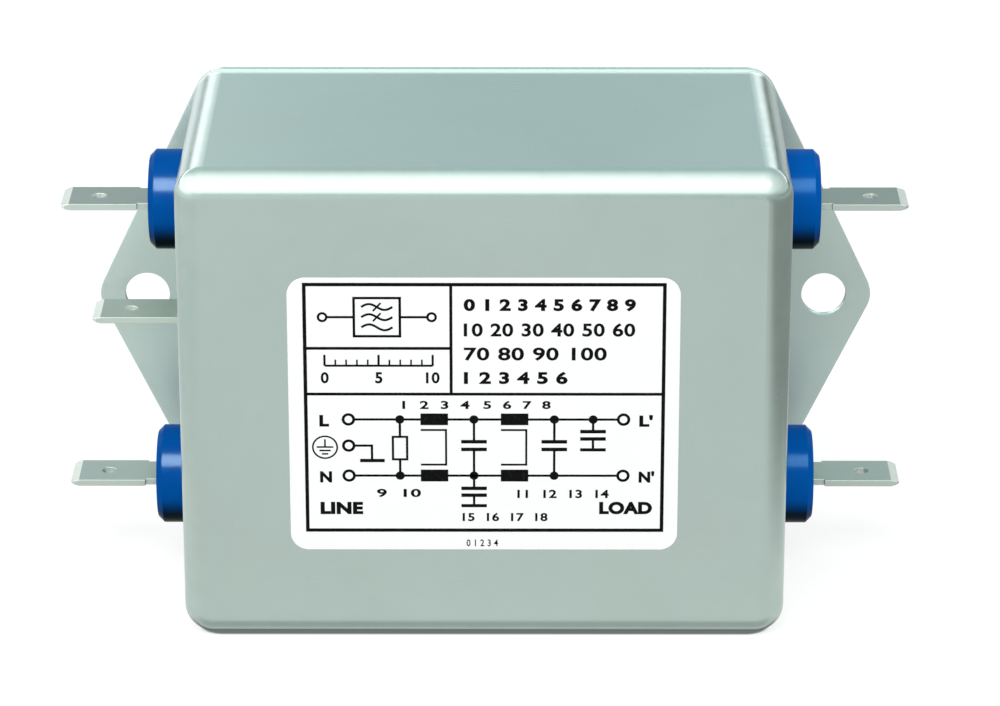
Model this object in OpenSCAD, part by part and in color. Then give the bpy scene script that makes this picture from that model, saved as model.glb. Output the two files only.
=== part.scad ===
// Power line filter in a drawn steel can: two mounting ears, four blade
// terminals in round insulating bushings, one earth blade, and the filter
// circuit inside. Millimetres. The mounting face of the base plate lies at
// y = 0 and faces +Y, the label faces -Y, +Z is up and +X is the load side.

/* [Can] */
// Width of the can, across the two terminal sides
can_w = 71; // [70:0.5:74]
// Height of the can
can_h = 58; // [57.5:0.5:62]
// Depth from the mounting face to the label face
can_d = 40; // [39.5:0.5:46]
// Sheet thickness of the can
wall = 0.6; // [0.5:0.05:0.7]
// Radius of the four upright corners
corner_r = 3.4; // [3.2:0.1:4]
// Radius of the drawn edge round the label face
edge_r = 3.0; // [2.6:0.1:3.1]

/* [Base plate] */
// Thickness of the base plate
plate_t = 1.0; // [0.8:0.1:1.2]
// How far the base plate stands out beyond the can
plate_lip = 0.2; // [0.1:0.05:0.6]
// Radius of the plate corners above and below the ears
plate_r = 4; // [3.6:0.1:5]
// Distance between the centres of the two mounting holes
hole_pitch = 84; // [83.5:0.1:86]
// Diameter of the mounting holes
hole_d = 5.5; // [4.5:0.1:5.6]
// Distance from ear tip to ear tip
ear_span = 95.6; // [95:0.1:100]
// Radius of the ear tips
ear_r = 3.5; // [2:0.1:4]

/* [Bushings] */
// Diameter of the bushing collars
bush_d = 12; // [11.5:0.1:12.4]
// How far the collars stand out from the can
bush_out = 4.4; // [4:0.1:5]
// Bevel of the collar rim
bush_rim = 0.7; // [0.4:0.1:1.4]

/* [Blade terminals] */
// Width of the blades
tab_w = 6.3; // [6.1:0.1:6.4]
// Thickness of the blades
tab_t = 0.8; // [0.7:0.05:0.85]
// Distance from blade tip to blade tip across the part
tab_span = 101; // [98:0.2:104]
// Height of the line and load blades above and below the middle
tab_up = 17.8; // [17.6:0.1:18.4]
// Distance of the blade middle from the mounting face
tab_depth = 16.15; // [15.8:0.05:17]
// Distance of the detent hole from the blade tip
tab_hole_in = 4.4; // [4:0.1:5.2]
// Diameter of the detent hole
tab_hole_d = 1.7; // [1.5:0.1:1.8]

/* [Earth blade] */
// Height of the earth blade above the middle
earth_up = 3.4; // [3:0.1:4]
// Distance of the earth blade tip from the middle of the part
earth_reach = 47.2; // [46:0.1:50]
// Length of the foot on the can, measured down from the top of the blade
earth_foot = 4.9; // [4.6:0.1:6]

/* [Label] */
// Label width
label_w = 45.3; // [40:0.1:50]
// Label height
label_h = 34; // [30:0.1:36]
// Label corner radius
label_r = 2.1; // [1:0.1:3]
// Label thickness
label_t = 0.12; // [0.08:0.01:0.2]

/* [Hidden] */
$fn = 64;
clear = 0.1;
hx = can_w / 2;
hy = can_h / 2;
plate_w = can_w + 2 * plate_lip;
plate_h = can_h + 2 * plate_lip;
step_t = 0.5;
bush_neck_r = 4.5;
bush_in = 3.7;
bush_face = hx + bush_out;
tab_tip = tab_span / 2;
tab_bevel = 1.0;
neck_w = tab_w - 0.8;
tab_step = bush_face + 1.5;
lug_end = hx - 7;
lug_w = 3.4;
ret_t = 0.5;
rivet_y = 1.0;
bend_in = 1.0;
bend_x = hx + tab_t + bend_in;
liner_t = 0.35;
liner_x = hx - wall - 0.45;
liner_y = hy - wall - 0.45;
liner_cut = 1.8;
liner_top = can_d - 2.1;
choke_x = 15.5;
choke_y = 6.5;
choke_z = 12;
core_ri = 7.5;
core_ro = 12.5;
core_hz = 5;
turns = 10;
turn_pitch = 150 / turns;
turn_gap = 4;
wire_r = 0.55;
wire_bend = 1.2;
end_a = round((choke_y + 11 * sin(15)) * 10) / 10;
end_b = round((choke_y - 11 * sin(15)) * 10) / 10;
end_x = round((choke_x + 11 * cos(15)) * 10) / 10;
mid_x = round((choke_x - 11 * cos(15)) * 10) / 10;
wind_top = choke_z + core_hz + 1.7;
lug_x = hx - 6.4;
lug_top = tab_depth + lug_w / 2;
run_z = 25;
cap_y = -19.5;
cap_z0 = 5;
cap_hz = 19;
ycap_y = 24.6;

// Which sub-part to draw, or all

// Parts are drawn lying on the mounting face and stood up here.
module stand() { rotate([90, 0, 0]) children(); }

// A slab with rounded corners, built from pieces that meet on flat faces.
module slab(w, h, r, t) {
  translate([-w / 2 + r, -h / 2, 0]) cube([w - 2 * r, h, t]);
  for (s = [-1, 1])
    translate([s < 0 ? -w / 2 : w / 2 - r, -h / 2 + r, 0]) cube([r, h - 2 * r, t]);
  for (k = [0:3])
    translate([(k == 0 || k == 3 ? 1 : -1) * (w / 2 - r), (k < 2 ? 1 : -1) * (h / 2 - r), 0])
      rotate([0, 0, 90 * k]) rotate_extrude(angle = 90) square([r, t]);
}

// ---- can ----

// Section of the drawn wall, measured outwards from the corner axis.
module wall_section() {
  translate([corner_r - wall, plate_t]) square([wall, can_d - edge_r - plate_t]);
  intersection() {
    translate([corner_r - edge_r, can_d - edge_r]) difference() {
      circle(edge_r);
      circle(edge_r - wall);
    }
    translate([corner_r - edge_r, can_d - edge_r]) square([edge_r + 1, edge_r + 1]);
  }
  translate([0, can_d - wall]) square([corner_r - edge_r, wall]);
}

module wall_side(reach, run) {
  translate([reach - corner_r, run / 2, 0]) rotate([90, 0, 0])
    linear_extrude(height = run) wall_section();
}

module can() {
  color([0.66, 0.72, 0.69]) stand() difference() {
    union() {
      for (k = [0:3])
        translate([(k == 0 || k == 3 ? 1 : -1) * (hx - corner_r), (k < 2 ? 1 : -1) * (hy - corner_r), 0])
          rotate([0, 0, 90 * k]) rotate_extrude(angle = 90) wall_section();
      for (k = [0, 180]) {
        rotate([0, 0, k]) wall_side(hx, can_h - 2 * corner_r);
        rotate([0, 0, k + 90]) wall_side(hy, can_w - 2 * corner_r);
      }
      translate([-hx + corner_r, -hy + corner_r, can_d - wall])
        cube([can_w - 2 * corner_r, can_h - 2 * corner_r, wall]);
    }
    for (sx = [-1, 1], sy = [-1, 1])
      translate([sx * hx, sy * tab_up, tab_depth]) rotate([0, 90, 0])
        cylinder(h = 4, r = bush_neck_r + clear, center = true);
    translate([-hx, rivet_y, tab_depth]) rotate([0, 90, 0])
      cylinder(h = 4, r = 0.85, center = true);
  }
}

// ---- base plate ----

ear_c = ear_span / 2 - ear_r;
ear_px = plate_w / 2 - plate_r;
ear_py = plate_h / 2 - plate_r;
// direction square to the edge that touches both the corner arc and the tip arc
ear_ang = round((atan2(ear_py, ear_px - ear_c)
  - acos((ear_r - plate_r) / norm([ear_px - ear_c, ear_py]))) * 1000) / 1000;

module ear() {
  translate([0, 0, 0]) linear_extrude(height = plate_t) polygon([
    [0, -ear_py],
    [ear_px, -ear_py],
    [ear_px + plate_r * cos(ear_ang), -ear_py - plate_r * sin(ear_ang)],
    [ear_c + ear_r * cos(ear_ang), -ear_r * sin(ear_ang)],
    [ear_c, 0],
    [ear_c + ear_r * cos(ear_ang), ear_r * sin(ear_ang)],
    [ear_px + plate_r * cos(ear_ang), ear_py + plate_r * sin(ear_ang)],
    [ear_px, ear_py],
    [0, ear_py]
  ]);
  translate([ear_c, 0, 0]) rotate([0, 0, -ear_ang])
    rotate_extrude(angle = 2 * ear_ang) square([ear_r, plate_t]);
}

module base_plate() {
  color([0.62, 0.69, 0.66]) stand() difference() {
    union() {
      slab(plate_w, plate_h, plate_r, plate_t);
      ear();
      rotate([0, 0, 180]) ear();
      translate([0, 0, plate_t])
        slab(can_w - 2 * wall - 0.6, can_h - 2 * wall - 0.6, corner_r - wall, step_t);
    }
    for (s = [-1, 1])
      translate([s * hole_pitch / 2, 0, -1]) cylinder(h = plate_t + 2, d = hole_d);
  }
}

// ---- label ----

module label() {
  color([0.97, 0.98, 0.97]) stand()
    translate([0, -0.45, can_d]) slab(label_w, label_h, label_r, label_t);
}

// ---- terminals ----

module place(sx, sy) {
  stand() translate([0, sy * tab_up, tab_depth])
    mirror([sx < 0 ? 1 : 0, 0, 0]) children();
}

module bushing() {
  color([0.0, 0.3, 0.65]) difference() {
    rotate([0, 90, 0]) rotate_extrude() {
      translate([0, hx - wall - bush_in]) square([bush_neck_r, wall + bush_in]);
      polygon([
        [0, hx], [bush_d / 2, hx], [bush_d / 2, bush_face - bush_rim],
        [bush_d / 2 - bush_rim, bush_face], [0, bush_face]
      ]);
    }
    translate([hx - 6, -tab_t / 2 - 0.05, -neck_w / 2 - 0.05])
      cube([bush_out + 8, tab_t + 0.1, neck_w + 0.1]);
  }
}

module blade_tip(tip) {
  // side view of a blade with its bevelled tip, drawn in x and y
  polygon([
    [0, -tab_t / 2], [tip - tab_bevel, -tab_t / 2], [tip, -0.12],
    [tip, 0.12], [tip - tab_bevel, tab_t / 2], [0, tab_t / 2]
  ]);
}

module tab() {
  color([0.72, 0.77, 0.74]) difference() {
    intersection() {
      translate([0, 0, -5]) linear_extrude(height = 10) blade_tip(tab_tip);
      rotate([90, 0, 0]) translate([0, 0, -2]) linear_extrude(height = 4) polygon([
        [lug_end, -lug_w / 2], [hx - wall - bush_in, -lug_w / 2],
        [hx - wall - bush_in, -neck_w / 2], [tab_step, -neck_w / 2],
        [tab_step, -tab_w / 2], [tab_tip - 0.4, -tab_w / 2],
        [tab_tip, -tab_w / 2 + 0.4], [tab_tip, tab_w / 2 - 0.4],
        [tab_tip - 0.4, tab_w / 2], [tab_step, tab_w / 2],
        [tab_step, neck_w / 2], [hx - wall - bush_in, neck_w / 2],
        [hx - wall - bush_in, lug_w / 2], [lug_end, lug_w / 2]
      ]);
    }
    translate([tab_tip - tab_hole_in, 0, 0]) rotate([90, 0, 0])
      cylinder(h = 4, d = tab_hole_d, center = true);
  }
}

module retainer() {
  color([0.55, 0.56, 0.55]) difference() {
    translate([hx - wall - ret_t, 0, 0]) rotate([0, 90, 0])
      cylinder(h = ret_t, r = 6.2);
    translate([hx - wall - 2, 0, 0]) rotate([0, 90, 0])
      cylinder(h = 4, r = bush_neck_r + clear);
    for (a = [0:60:300])
      rotate([a, 0, 0]) translate([hx - wall - 2, -0.3, 3]) cube([4, 0.6, 2.5]);
  }
}

module bushing_line_l() { place(-1, 1) bushing(); }
module bushing_line_n() { place(-1, -1) bushing(); }
module bushing_load_l() { place(1, 1) bushing(); }
module bushing_load_n() { place(1, -1) bushing(); }
module tab_line_l() { place(-1, 1) tab(); }
module tab_line_n() { place(-1, -1) tab(); }
module tab_load_l() { place(1, 1) tab(); }
module tab_load_n() { place(1, -1) tab(); }
module retainer_line_l() { place(-1, 1) retainer(); }
module retainer_line_n() { place(-1, -1) retainer(); }
module retainer_load_l() { place(1, 1) retainer(); }
module retainer_load_n() { place(1, -1) retainer(); }

// ---- earth blade ----

module earth_tab() {
  top = earth_up + tab_t / 2;
  color([0.7, 0.76, 0.73]) stand() translate([0, 0, tab_depth]) mirror([1, 0, 0])
    difference() {
      union() {
        intersection() {
          translate([0, earth_up, -5]) linear_extrude(height = 10) difference() {
            blade_tip(earth_reach);
            translate([-1, -2]) square([bend_x + 1, 4]);
          }
          translate([0, 6, 0]) rotate([90, 0, 0]) linear_extrude(height = 8) polygon([
            [30, -tab_w / 2], [earth_reach - 0.4, -tab_w / 2],
            [earth_reach, -tab_w / 2 + 0.4], [earth_reach, tab_w / 2 - 0.4],
            [earth_reach - 0.4, tab_w / 2], [30, tab_w / 2]
          ]);
        }
        translate([bend_x, top - tab_t - bend_in, -tab_w / 2]) rotate([0, 0, 90])
          rotate_extrude(angle = 90) translate([bend_in, 0]) square([tab_t, tab_w]);
        translate([hx, top - earth_foot, -tab_w / 2])
          cube([tab_t, earth_foot - tab_t - bend_in, tab_w]);
      }
      translate([earth_reach - tab_hole_in, 6, 0]) rotate([90, 0, 0])
        cylinder(h = 6, d = tab_hole_d);
      translate([hx - 1, rivet_y, 0]) rotate([0, 90, 0]) cylinder(h = 2.5, r = 0.85);
    }
}

module earth_rivet() {
  head_h = 0.7;
  head_r = 1.3;
  dome = (head_r * head_r + head_h * head_h) / (2 * head_h);
  color([0.75, 0.79, 0.77]) stand() translate([0, rivet_y, tab_depth])
    rotate([0, -90, 0]) rotate_extrude() {
      translate([0, hx - wall - 1]) square([0.75, wall + tab_t + 1]);
      translate([0, hx - wall - 1]) square([head_r, 1]);
      intersection() {
        translate([0, hx + tab_t + head_h - dome]) circle(dome);
        translate([0, hx + tab_t]) square([head_r + 1, head_h + 1]);
      }
    }
}

// ---- insulation ----

module eight_sided(a, b, c, t) {
  linear_extrude(height = t) polygon([
    [-a, -b + c], [-a + c, -b], [a - c, -b], [a, -b + c],
    [a, b - c], [a - c, b], [-a + c, b], [-a, b - c]
  ]);
}

module liner() {
  z0 = plate_t + step_t + 0.1;
  color([0.86, 0.83, 0.74]) stand() difference() {
    translate([0, 0, z0]) eight_sided(liner_x, liner_y, liner_cut, liner_top - z0);
    translate([0, 0, z0 - 1])
      eight_sided(liner_x - liner_t, liner_y - liner_t, liner_cut, liner_top - liner_t - z0 + 1);
    for (sx = [-1, 1], sy = [-1, 1])
      translate([sx * hx, sy * tab_up, tab_depth]) rotate([0, 90, 0])
        cylinder(h = 4, r = 6.6, center = true);
    translate([-hx, rivet_y, tab_depth]) rotate([0, 90, 0])
      cylinder(h = 4, r = 1.7, center = true);
  }
}

module potting() {
  z0 = plate_t + step_t + 0.2;
  color([0.2, 0.2, 0.21]) stand() difference() {
    translate([0, 0, z0])
      eight_sided(liner_x - liner_t - 0.1, liner_y - liner_t - 0.1, liner_cut, 7.2);
    for (s = [-1, 1]) {
      translate([s * choke_x, choke_y, choke_z - core_hz - 1.8]) cylinder(h = 20, r = core_ro + 1.85);
      translate([s * 14 - 13.1, cap_y - 6.1, cap_z0]) cube([26.2, 12.2, 20]);
      translate([s * 8 - 6.6, ycap_y - 2.4, cap_z0]) cube([13.2, 4.8, 20]);
    }
  }
}

// ---- ring core chokes ----

module at_choke(s) { stand() translate([s * choke_x, choke_y, choke_z]) children(); }

module core() {
  c = 0.7;
  color([0.16, 0.3, 0.22]) rotate_extrude() polygon([
    [core_ri, -core_hz + c], [core_ri + c, -core_hz], [core_ro - c, -core_hz],
    [core_ro, -core_hz + c], [core_ro, core_hz - c], [core_ro - c, core_hz],
    [core_ri + c, core_hz], [core_ri, core_hz - c]
  ]);
}

module layer(t) {
  difference() {
    translate([core_ri - t, -core_hz - t]) square([core_ro - core_ri + 2 * t, 2 * (core_hz + t)]);
    translate([core_ri, -core_hz]) square([core_ro - core_ri, 2 * core_hz]);
  }
}

module winding() {
  color([0.7, 0.34, 0.14]) difference() {
    rotate([0, 0, 15]) rotate_extrude(angle = 150) layer(1.7);
    // grooves between the turns
    for (i = [1:turns - 1])
      rotate([0, 0, 15 + i * turn_pitch - turn_gap / 2]) rotate_extrude(angle = turn_gap)
        difference() {
          translate([core_ri - 2.4, -core_hz - 2.4]) square([core_ro - core_ri + 4.8, 2 * (core_hz + 2.4)]);
          translate([core_ri - 1.1, -core_hz - 1.1]) square([core_ro - core_ri + 2.2, 2 * (core_hz + 1.1)]);
        }
  }
}

module divider() {
  color([0.9, 0.88, 0.8]) translate([-core_ri + 0.15, -0.8, -core_hz - 1])
    cube([2 * core_ri - 0.3, 1.6, 2 * core_hz + 2]);
}

module choke1_core() { at_choke(-1) core(); }
module choke1_winding_a() { at_choke(-1) winding(); }
module choke1_winding_b() { at_choke(-1) rotate([0, 0, 180]) winding(); }
module choke1_divider() { at_choke(-1) divider(); }
module choke2_core() { at_choke(1) core(); }
module choke2_winding_a() { at_choke(1) winding(); }
module choke2_winding_b() { at_choke(1) rotate([0, 0, 180]) winding(); }
module choke2_divider() { at_choke(1) divider(); }

// ---- capacitors and resistor ----

module x_capacitor(s) {
  color([0.85, 0.76, 0.25]) stand() translate([s * 14, cap_y, cap_z0]) {
    slab(26, 12, 0.8, cap_hz);
    for (k = [-1, 1]) translate([k * 11.25, 0, cap_hz]) cylinder(h = 1.2, r = 0.4, $fn = 12);
  }
}

module x_capacitor_1() { x_capacitor(-1); }
module x_capacitor_2() { x_capacitor(1); }

module y_capacitor(s) {
  // the inner lead is taller and reaches the earth wire
  color([0.2, 0.4, 0.7]) stand() translate([s * 8, ycap_y, cap_z0]) {
    slab(13, 4.6, 0.8, 11);
    translate([-s * 5, 0, 11]) cylinder(h = (s < 0 ? 34 : 22) - wire_r - cap_z0 - 11, r = 0.35, $fn = 12);
    translate([s * 5, 0, 11]) cylinder(h = 1.2, r = 0.35, $fn = 12);
  }
}

module y_capacitor_1() { y_capacitor(-1); }
module y_capacitor_2() { y_capacitor(1); }

module discharge_resistor() {
  color([0.78, 0.68, 0.5]) stand() {
    translate([-hx + 5.3, -3, 22]) rotate([90, 0, 0]) rotate_extrude() polygon([
      [0, -5.2], [1.4, -5.2], [1.8, -4.8], [1.8, -3.4], [1.5, -2.9], [1.5, 2.9],
      [1.8, 3.4], [1.8, 4.8], [1.4, 5.2], [0, 5.2]
    ]);
    wire([[-hx + 5.3, 2.2, 22], [-hx + 5.3, tab_up, 22], [-hx + 5.3, tab_up, lug_top]], 0.3);
    wire([[-hx + 5.3, -8.2, 22], [-hx + 5.3, -tab_up, 22], [-hx + 5.3, -tab_up, lug_top]], 0.3);
  }
}

// ---- wires ----

// Angles that carry the x, y and z directions onto the three given ones.
function turn_to(x, y, z) = abs(x[2]) < 0.999
  ? [atan2(y[2], z[2]), asin(-x[2]), atan2(x[1], x[0])]
  : [atan2(-z[1], y[1]), x[2] < 0 ? 90 : -90, 0];
function unit(v) = v / norm(v);

// A wire along points that lie square to each other, with rounded bends.
module wire(p, r = wire_r) {
  n = len(p) - 1;
  for (i = [0:n - 1]) {
    d = unit(p[i + 1] - p[i]);
    u = abs(d[2]) > 0.5 ? [1, 0, 0] : [0, 0, 1];
    a = i == 0 ? 0 : wire_bend;
    b = i == n - 1 ? 0 : wire_bend;
    translate(p[i] + d * a) rotate(turn_to(u, cross(d, u), d))
      cylinder(h = norm(p[i + 1] - p[i]) - a - b, r = r);
    if (i < n - 1) {
      e = unit(p[i + 2] - p[i + 1]);
      translate(p[i + 1] - d * wire_bend + e * wire_bend) rotate(turn_to(-e, d, cross(d, e)))
        rotate_extrude(angle = 90) translate([wire_bend, 0]) circle(r);
    }
  }
}

module red() { color([0.62, 0.14, 0.1]) stand() children(); }
module blue() { color([0.12, 0.2, 0.55]) stand() children(); }

module wire_line_l() {
  red() wire([[-lug_x, tab_up, lug_top], [-lug_x, tab_up, run_z], [-lug_x, end_a, run_z],
    [-end_x, end_a, run_z], [-end_x, end_a, wind_top]]);
}
module wire_line_n() {
  blue() wire([[-lug_x, -tab_up, lug_top], [-lug_x, -tab_up, run_z], [-lug_x, end_b, run_z],
    [-end_x, end_b, run_z], [-end_x, end_b, wind_top]]);
}
module wire_mid_l() {
  red() wire([[-mid_x, end_a, wind_top], [-mid_x, end_a, run_z], [mid_x, end_a, run_z],
    [mid_x, end_a, wind_top]]);
}
module wire_mid_n() {
  blue() wire([[-mid_x, end_b, wind_top], [-mid_x, end_b, run_z], [mid_x, end_b, run_z],
    [mid_x, end_b, wind_top]]);
}
module wire_load_l() {
  red() wire([[lug_x, tab_up, lug_top], [lug_x, tab_up, run_z], [lug_x, end_a, run_z],
    [end_x, end_a, run_z], [end_x, end_a, wind_top]]);
}
module wire_load_n() {
  blue() wire([[lug_x, -tab_up, lug_top], [lug_x, -tab_up, run_z], [lug_x, end_b, run_z],
    [end_x, end_b, run_z], [end_x, end_b, wind_top]]);
}
module wire_earth() {
  color([0.2, 0.5, 0.2]) stand() wire([[-hx + wall + 1 + wire_r, rivet_y, tab_depth - 1],
    [-hx + wall + 1 + wire_r, rivet_y, 34], [-hx + wall + 1 + wire_r, ycap_y, 34],
    [3, ycap_y, 34], [3, ycap_y, 22 - wire_r]]);
}
module wire_x1_l() {
  red() wire([[-25.25, cap_y, cap_z0 + cap_hz + 1.2], [-25.25, cap_y, 31.5], [-25.25, -11, 31.5],
    [-0.8, -11, 31.5], [-0.8, end_a, 31.5], [-0.8, end_a, run_z + wire_r]]);
}
module wire_x1_n() {
  blue() wire([[-2.75, cap_y, cap_z0 + cap_hz + 1.2], [-2.75, cap_y, 28.5],
    [-2.75, end_b, 28.5], [-2.75, end_b, run_z + wire_r]]);
}
module wire_x2_l() {
  red() wire([[2.75, cap_y, cap_z0 + cap_hz + 1.2], [2.75, cap_y, 31.5], [2.75, 13.5, 31.5],
    [lug_x, 13.5, 31.5], [lug_x, 13.5, run_z + wire_r]]);
}
module wire_x2_n() {
  blue() wire([[25.25, cap_y, cap_z0 + cap_hz + 1.2], [25.25, cap_y, 28.5], [25.25, -13, 28.5],
    [lug_x, -13, 28.5], [lug_x, -13, run_z + wire_r]]);
}
module wire_y_l() {
  red() wire([[13, ycap_y, cap_z0 + 12.2], [13, ycap_y, 21], [lug_x, ycap_y, 21],
    [lug_x, tab_up + wire_r, 21]]);
}
module wire_y_n() {
  blue() wire([[-13, ycap_y, cap_z0 + 12.2], [-13, ycap_y, 36.4], [31.5, ycap_y, 36.4],
    [31.5, -10, 36.4], [31.5, -10, run_z], [lug_x + wire_r, -10, run_z]]);
}

can();
base_plate();
label();
bushing_line_l();
bushing_line_n();
bushing_load_l();
bushing_load_n();
tab_line_l();
tab_line_n();
tab_load_l();
tab_load_n();
retainer_line_l();
retainer_line_n();
retainer_load_l();
retainer_load_n();
earth_tab();
earth_rivet();
liner();
potting();
choke1_core();
choke1_winding_a();
choke1_winding_b();
choke1_divider();
choke2_core();
choke2_winding_a();
choke2_winding_b();
choke2_divider();
x_capacitor_1();
x_capacitor_2();
y_capacitor_1();
y_capacitor_2();
discharge_resistor();
wire_line_l();
wire_line_n();
wire_mid_l();
wire_mid_n();
wire_load_l();
wire_load_n();
wire_earth();
wire_x1_l();
wire_x1_n();
wire_x2_l();
wire_x2_n();
wire_y_l();
wire_y_n();
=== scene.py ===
import math

import bmesh
import bpy
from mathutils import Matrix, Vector


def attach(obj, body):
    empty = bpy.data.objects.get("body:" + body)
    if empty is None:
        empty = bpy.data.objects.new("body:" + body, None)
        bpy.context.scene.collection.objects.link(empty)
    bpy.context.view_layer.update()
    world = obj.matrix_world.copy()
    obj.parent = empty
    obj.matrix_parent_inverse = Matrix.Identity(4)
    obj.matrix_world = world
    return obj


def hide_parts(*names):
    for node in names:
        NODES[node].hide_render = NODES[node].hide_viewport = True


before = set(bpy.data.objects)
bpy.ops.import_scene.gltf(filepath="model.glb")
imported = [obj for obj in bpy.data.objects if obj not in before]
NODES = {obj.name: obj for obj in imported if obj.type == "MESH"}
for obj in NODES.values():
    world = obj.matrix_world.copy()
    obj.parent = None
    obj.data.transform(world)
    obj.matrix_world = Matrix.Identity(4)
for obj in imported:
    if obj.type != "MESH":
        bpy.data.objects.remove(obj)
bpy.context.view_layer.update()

# ---------------------------------------------------------------------------
# An EMI power line filter standing on the long edge of its can, so that the
# labelled face looks at -Y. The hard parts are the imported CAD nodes; this file
# gives each of them its finish, adds the printed label, and lights the whole.
# Lengths below are millimetres until they are multiplied by MM.
# ---------------------------------------------------------------------------

MM = 0.001
SCENE = bpy.context.scene

CAN_X, CAN_Z, CAN_DEPTH = 35.5, 29.0, 40.0   # half width, half height, depth of the can
FLOOR_Z = -29.2                              # lower edge of the base plate


# ---------------------------------------------------------------------------
# Short calls that build shader node trees
# ---------------------------------------------------------------------------

class Tree:
    def __init__(self, tree):
        self.tree = tree
        tree.nodes.clear()

    def add(self, kind, **settings):
        node = self.tree.nodes.new(kind)
        for key, value in settings.items():
            setattr(node, key, value)
        return node

    def put(self, socket, value):
        if isinstance(value, bpy.types.NodeSocket):
            self.tree.links.new(value, socket)
        elif socket.type == "RGBA" and len(value) == 3:
            socket.default_value = (*value, 1.0)
        else:
            socket.default_value = value

    def math(self, operation, *values, clamp=False):
        node = self.add("ShaderNodeMath", operation=operation, use_clamp=clamp)
        for socket, value in zip(node.inputs, values):
            self.put(socket, value)
        return node.outputs[0]

    def plus(self, a, b):
        return self.math("ADD", a, b)

    def minus(self, a, b):
        return self.math("SUBTRACT", a, b)

    def times(self, a, b):
        return self.math("MULTIPLY", a, b)

    def ramp(self, value, low, high, start=0.0, end=1.0, kind="SMOOTHSTEP"):
        node = self.add("ShaderNodeMapRange", interpolation_type=kind)
        for name, v in (("Value", value), ("From Min", low), ("From Max", high),
                        ("To Min", start), ("To Max", end)):
            self.put(node.inputs[name], v)
        return node.outputs[0]

    def mix(self, factor, a, b, how="MIX"):
        node = self.add("ShaderNodeMix", data_type="RGBA", blend_type=how)
        node.clamp_factor = True
        self.put(node.inputs[0], factor)
        self.put(node.inputs[6], a)
        self.put(node.inputs[7], b)
        return node.outputs[2]

    def place(self):
        """Object coordinates in millimetres."""
        where = self.add("ShaderNodeTexCoord").outputs["Object"]
        node = self.add("ShaderNodeVectorMath", operation="MULTIPLY")
        self.put(node.inputs[0], where)
        node.inputs[1].default_value = (1000.0, 1000.0, 1000.0)
        return node.outputs[0]

    def stretch(self, vector, x, y, z):
        node = self.add("ShaderNodeVectorMath", operation="MULTIPLY")
        self.put(node.inputs[0], vector)
        node.inputs[1].default_value = (x, y, z)
        return node.outputs[0]

    def shift(self, vector, x, y, z):
        node = self.add("ShaderNodeVectorMath", operation="ADD")
        self.put(node.inputs[0], vector)
        node.inputs[1].default_value = (x, y, z)
        return node.outputs[0]

    def split(self, vector):
        node = self.add("ShaderNodeSeparateXYZ")
        self.put(node.inputs[0], vector)
        return node.outputs[0], node.outputs[1], node.outputs[2]

    def noise(self, vector, size, detail=2.0, rough=0.5, warp=0.0):
        """Soft noise, 0 to 1, with features about `size` millimetres across."""
        node = self.add("ShaderNodeTexNoise")
        self.put(node.inputs["Vector"], vector)
        node.inputs["Scale"].default_value = 1.0 / size
        node.inputs["Detail"].default_value = detail
        node.inputs["Roughness"].default_value = rough
        node.inputs["Distortion"].default_value = warp
        return node.outputs[0]

    def cells(self, vector, size, feature="F1", random=1.0):
        node = self.add("ShaderNodeTexVoronoi", feature=feature)
        self.put(node.inputs["Vector"], vector)
        node.inputs["Scale"].default_value = 1.0 / size
        node.inputs["Randomness"].default_value = random
        return node.outputs["Distance"]

    def bump(self, height, millimetres, strength=1.0, normal=None):
        """A bump whose height 0 to 1 stands for that many millimetres."""
        node = self.add("ShaderNodeBump")
        node.inputs["Strength"].default_value = strength
        node.inputs["Distance"].default_value = millimetres * MM
        self.put(node.inputs["Height"], height)
        if normal is not None:
            self.put(node.inputs["Normal"], normal)
        return node.outputs[0]

    def surface(self, **values):
        node = self.add("ShaderNodeBsdfPrincipled")
        for name, value in values.items():
            self.put(node.inputs[name.replace("_", " ")], value)
        out = self.add("ShaderNodeOutputMaterial")
        self.tree.links.new(node.outputs[0], out.inputs["Surface"])
        return node


def new_material(name):
    material = bpy.data.materials.new(name)
    material.use_nodes = True
    return material, Tree(material.node_tree)


def tone(colour, factor):
    return tuple(c * factor for c in colour)


# ---------------------------------------------------------------------------
# Materials
# ---------------------------------------------------------------------------

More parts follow.
